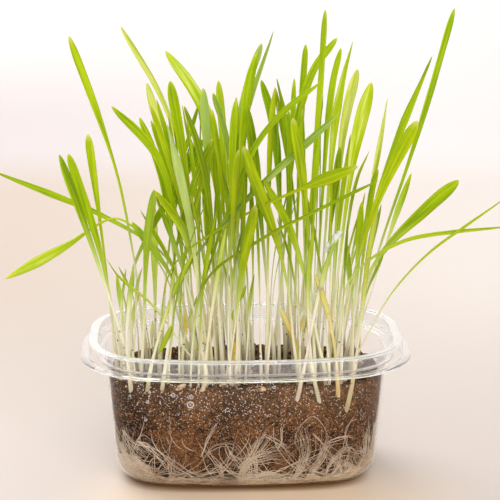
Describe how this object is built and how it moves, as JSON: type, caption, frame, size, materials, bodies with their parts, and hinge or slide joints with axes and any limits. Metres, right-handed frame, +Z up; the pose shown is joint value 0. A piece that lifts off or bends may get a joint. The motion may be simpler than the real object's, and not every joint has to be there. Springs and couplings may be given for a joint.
{
  "type": "wheatgrass tray",
  "caption": "Wheatgrass grown in a clear rectangular plastic food tub of potting soil, its roots matted against the walls and its blades fanning out high above the rim.",
  "frame": {"origin": "middle of the tub's flat underside, where it rests on a table", "axes": "+Z up out of the tub, +X along the tub's length, -Y towards the front long side"},
  "size_m": [0.2651, 0.118, 0.243],
  "materials": {
    "clear_tub": "clear, thin and glossy, milky along the rim",
    "potting_soil": "moist crumbly earth",
    "roots": "pale matted fibres",
    "grass": "smooth leaf, satin, pale at the foot"
  },
  "bodies": {
    "root": {"tub": "clear_tub", "soil": "potting_soil", "root_mat": "roots", "shoots_01": "grass", "shoots_02": "grass", "shoots_03": "grass", "shoots_04": "grass", "shoots_05": "grass", "shoots_06": "grass", "shoots_07": "grass", "shoots_08": "grass", "shoots_09": "grass", "shoots_10": "grass", "shoots_11": "grass", "shoots_12": "grass", "shoots_13": "grass", "shoots_14": "grass", "shoots_15": "grass", "shoots_16": "grass", "shoots_17": "grass", "shoots_18": "grass", "shoots_19": "grass", "shoots_20": "grass", "shoots_21": "grass", "shoots_22": "grass", "shoots_23": "grass", "shoots_24": "grass", "shoots_25": "grass", "shoots_26": "grass", "shoots_27": "grass", "shoots_28": "grass", "shoots_29": "grass", "shoots_30": "grass", "shoots_31": "grass", "shoots_32": "grass", "shoots_33": "grass", "shoots_34": "grass", "shoots_35": "grass", "shoots_36": "grass", "shoots_37": "grass", "shoots_38": "grass", "shoots_39": "grass", "shoots_40": "grass", "shoots_41": "grass", "shoots_42": "grass", "shoots_43": "grass", "shoots_44": "grass", "shoots_45": "grass", "shoots_46": "grass", "shoots_47": "grass", "shoots_48": "grass", "shoots_49": "grass", "shoots_50": "grass", "shoots_51": "grass", "shoots_52": "grass", "shoots_53": "grass", "shoots_54": "grass", "shoots_55": "grass", "shoots_56": "grass", "shoots_57": "grass"}
  },
  "joints": []
}
